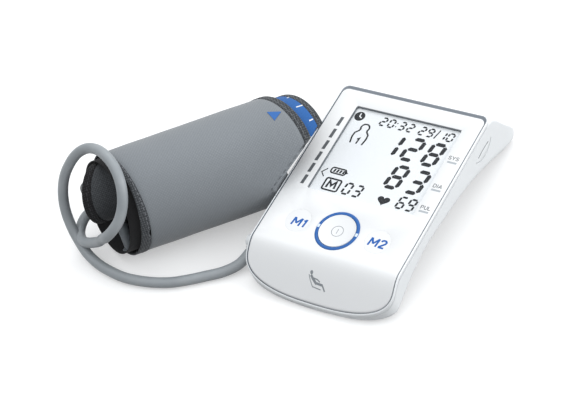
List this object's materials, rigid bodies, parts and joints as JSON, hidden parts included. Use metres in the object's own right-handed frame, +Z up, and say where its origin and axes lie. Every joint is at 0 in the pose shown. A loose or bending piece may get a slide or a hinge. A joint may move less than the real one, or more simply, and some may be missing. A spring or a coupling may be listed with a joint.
{
  "type": "upper-arm blood pressure monitor",
  "caption": "Tabletop upper-arm blood pressure monitor: sloped case with display and press keys, rolled wrap cuff and looped air hose on a pull-out plug.",
  "frame": {"origin": "on the table, under the middle of the box around the unit and the rolled cuff", "axes": "+Z up; +Y towards the unit's rear; +X towards the unit's right as its user sees it; the cuff lies on the -X side"},
  "size_m": [0.2251, 0.1863, 0.0768],
  "materials": {
    "white_case": "satin white ABS, fine spark texture underneath",
    "white_panel": "glossy white ABS with pad-printed graphics",
    "trim_edge": "dark blue-grey moulded edge",
    "window": "clear acrylic, glossy",
    "lcd": "pale reflective liquid crystal panel",
    "diffuser": "matt diffuser",
    "frame_plastic": "matt white frame",
    "elastomer": "striped contact rubber",
    "ring_blue": "translucent ring printed blue",
    "key_white": "satin white key",
    "component_black": "moulded component body",
    "board_green": "solder-resist green laminate",
    "pump_plastic": "moulded engineering plastic",
    "steel": "zinc-plated steel",
    "rotor_copper": "copper winding on a steel shaft",
    "black_rubber": "soft moulded rubber",
    "tube_silicone": "translucent silicone",
    "grey_plastic": "moulded mid-grey plastic",
    "battery_wrap": "shrink wrap over a cell",
    "cover_plastic": "soft-touch flap",
    "cuff_fabric": "slate grey loop-faced nylon",
    "inner_fabric": "dark woven nylon",
    "lining_fabric": "black knit lining",
    "core_fabric": "black coated nylon",
    "binding_tape": "dark woven edge tape",
    "bladder_film": "coated air bag film",
    "hook_tape": "hook fastener strip",
    "blue_band": "blue printed band with pale ticks",
    "ring_steel": "nickel-plated wire",
    "sleeve_rubber": "ribbed collar",
    "hose_rubber": "matt grey soft air tube"
  },
  "bodies": {
    "monitor": {"top_shell": "white_case", "front_panel": "white_panel", "panel_trim": "trim_edge", "display_window": "window", "lcd_glass": "lcd", "lcd_frame": "frame_plastic", "backlight": "diffuser", "elastomer_strip": "elastomer", "light_ring": "ring_blue", "button_switches": "component_black", "main_board": "board_green", "board_chips": "component_black", "pressure_sensor": "component_black", "pump_head": "pump_plastic", "motor_can": "steel", "motor_mounts": "black_rubber", "exhaust_valve": "pump_plastic", "air_manifold": "pump_plastic", "socket_tube": "tube_silicone", "pump_tube": "tube_silicone", "valve_tube": "tube_silicone", "sensor_tube": "tube_silicone", "air_socket": "grey_plastic", "battery_pack": "battery_wrap", "charge_port": "steel", "charge_board": "board_green", "base_housing": "white_case", "case_screws": "steel", "rubber_feet": "black_rubber"},
    "start_key": {"start_button": "key_white"},
    "memory_key_left": {"memory_key_1": "key_white"},
    "memory_key_right": {"memory_key_2": "key_white"},
    "rotor": {"motor_rotor": "rotor_copper"},
    "plunger": {"valve_plunger": "pump_plastic"},
    "port_flap": {"port_cover": "cover_plastic"},
    "cuff": {"cuff_cover": "cuff_fabric", "cuff_bladder": "bladder_film", "closure_patch": "hook_tape", "cuff_inner_wrap": "inner_fabric", "size_band": "blue_band", "cuff_lining": "lining_fabric", "cuff_core_turn": "core_fabric", "core_binding": "binding_tape", "binding_left": "binding_tape", "binding_right": "binding_tape", "inner_binding": "binding_tape", "cinch_ring": "ring_steel", "hose_fitting": "grey_plastic", "hose_sleeve": "sleeve_rubber", "air_hose": "hose_rubber", "air_plug": "grey_plastic", "plug_seal": "black_rubber"}
  },
  "joints": [
    {"name": "start_press", "type": "slide", "parent": "monitor", "child": "start_key", "axis": [0, 0.1219, -0.9925], "range_m": [0, 0.0008], "stiffness_N_per_m": 700, "springref_m": -0.0006},
    {"name": "memory_left_press", "type": "slide", "parent": "monitor", "child": "memory_key_left", "axis": [0, 0.1219, -0.9925], "range_m": [0, 0.0008], "stiffness_N_per_m": 700, "springref_m": -0.0006},
    {"name": "memory_right_press", "type": "slide", "parent": "monitor", "child": "memory_key_right", "axis": [0, 0.1219, -0.9925], "range_m": [0, 0.0008], "stiffness_N_per_m": 700, "springref_m": -0.0006},
    {"name": "port_flap_hinge", "type": "hinge", "parent": "monitor", "child": "port_flap", "pos_m": [0.10954, 0.04935, 0.0215], "axis": [0, 0.9925, 0.1219], "range_deg": [0, 80]},
    {"name": "pump_spin", "type": "hinge", "parent": "monitor", "child": "rotor", "pos_m": [0.07994, 0.06008, 0.02111], "axis": [1, 0, 0], "continuous": true},
    {"name": "valve_stroke", "type": "slide", "parent": "monitor", "child": "plunger", "axis": [-1, 0, 0], "range_m": [0, 0.0008], "stiffness_N_per_m": 400, "springref_m": -0.0005},
    {"name": "plug_pull", "type": "slide", "parent": "monitor", "child": "cuff", "axis": [-1, 0, 0], "range_m": [0, 0.012]}
  ]
}
